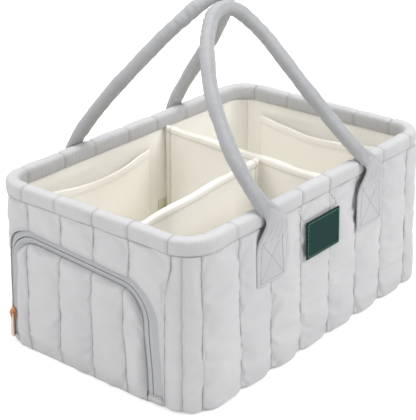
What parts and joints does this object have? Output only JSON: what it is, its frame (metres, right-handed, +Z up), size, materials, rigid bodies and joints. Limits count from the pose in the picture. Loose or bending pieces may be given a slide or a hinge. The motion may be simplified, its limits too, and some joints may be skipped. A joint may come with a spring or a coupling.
{
  "type": "diaper caddy",
  "caption": "Soft quilted rectangular caddy with a padded rim, two standing handles, an arched zip pocket on one end and removable dividers inside.",
  "frame": {"origin": "centre of the underside of the base, which is the middle of the tub", "axes": "+Z up; the long front with the label faces -Y; the end with the zip pocket faces -X"},
  "size_m": [0.4006, 0.266, 0.3377],
  "materials": {
    "outer_cloth": "matt woven polyester, quilted",
    "handle_cloth": "matt woven polyester, padded",
    "lining_cloth": "matt cream polyester",
    "stiffener_board": "smooth sheet",
    "rim_foam": "soft wadding",
    "label_cloth": "dark green woven, bare",
    "zip_tape": "fine herringbone tape",
    "zip_coil": "nylon coil",
    "slider_metal": "polished copper tone",
    "pull_metal": "polished rose gold tone",
    "hook_strip": "hook tape",
    "loop_strip": "loop tape"
  },
  "bodies": {
    "tub": {"front_quilted_panel": "outer_cloth", "back_quilted_panel": "outer_cloth", "plain_end_quilted_panel": "outer_cloth", "pocket_end_quilted_panel": "outer_cloth", "base_quilted_panel": "outer_cloth", "base_board": "stiffener_board", "lining_floor": "lining_cloth", "front_wall_board": "stiffener_board", "back_wall_board": "stiffener_board", "plain_end_wall_board": "stiffener_board", "pocket_end_wall_board": "stiffener_board", "front_lining": "lining_cloth", "back_lining": "lining_cloth", "plain_end_lining": "lining_cloth", "pocket_end_lining": "lining_cloth", "rim_binding": "outer_cloth", "rim_foam_core": "rim_foam", "front_left_handle_tab": "outer_cloth", "front_right_handle_tab": "outer_cloth", "back_left_handle_tab": "outer_cloth", "back_right_handle_tab": "outer_cloth", "front_label": "label_cloth", "zip_outer_tape": "zip_tape", "zip_outer_coil": "zip_coil", "pocket_back_cloth": "outer_cloth", "front_wall_loop": "loop_strip", "back_wall_loop": "loop_strip", "pocket_end_loop": "loop_strip", "back_inner_pocket": "lining_cloth", "plain_end_inner_pocket": "lining_cloth"},
    "front_handle": {"front_handle": "handle_cloth"},
    "back_handle": {"back_handle": "handle_cloth"},
    "pocket_flap": {"pocket_flap": "outer_cloth", "zip_inner_tape": "zip_tape", "zip_inner_coil": "zip_coil"},
    "zip_slider": {"zip_slider": "slider_metal"},
    "zip_pull": {"zip_pull": "pull_metal"},
    "cross_divider": {"cross_divider_sleeve": "lining_cloth", "cross_divider_board": "stiffener_board", "cross_divider_front_hook": "hook_strip", "cross_divider_back_hook": "hook_strip", "cross_divider_loop": "loop_strip"},
    "long_divider": {"long_divider_sleeve": "lining_cloth", "long_divider_board": "stiffener_board", "long_divider_end_hook": "hook_strip", "long_divider_cross_hook": "hook_strip"}
  },
  "joints": [
    {"name": "front_handle_fold", "type": "hinge", "parent": "tub", "child": "front_handle", "pos_m": [0, -0.1305, 0.16], "axis": [1, 0, 0], "range_deg": [0, 165]},
    {"name": "back_handle_fold", "type": "hinge", "parent": "tub", "child": "back_handle", "pos_m": [0, 0.1305, 0.16], "axis": [-1, 0, 0], "range_deg": [0, 165]},
    {"name": "pocket_flap_fold", "type": "hinge", "parent": "tub", "child": "pocket_flap", "pos_m": [-0.19538, 0.0125, 0.007], "axis": [0, -1, 0], "range_deg": [0, 80]},
    {"name": "zip_slider_travel", "type": "slide", "parent": "pocket_flap", "child": "zip_slider", "axis": [0.0295, -0.0119, 0.9995], "range_m": [0, 0.05]},
    {"name": "zip_pull_swing", "type": "hinge", "parent": "zip_slider", "child": "zip_pull", "pos_m": [-0.19482, 0.10654, 0.03311], "axis": [0.374, 0.9274, 0], "range_deg": [0, 165]},
    {"name": "cross_divider_lift", "type": "slide", "parent": "tub", "child": "cross_divider", "axis": [0, 0, 1], "range_m": [0, 0.065]},
    {"name": "long_divider_lift", "type": "slide", "parent": "tub", "child": "long_divider", "axis": [0, 0, 1], "range_m": [0, 0.07]}
  ]
}
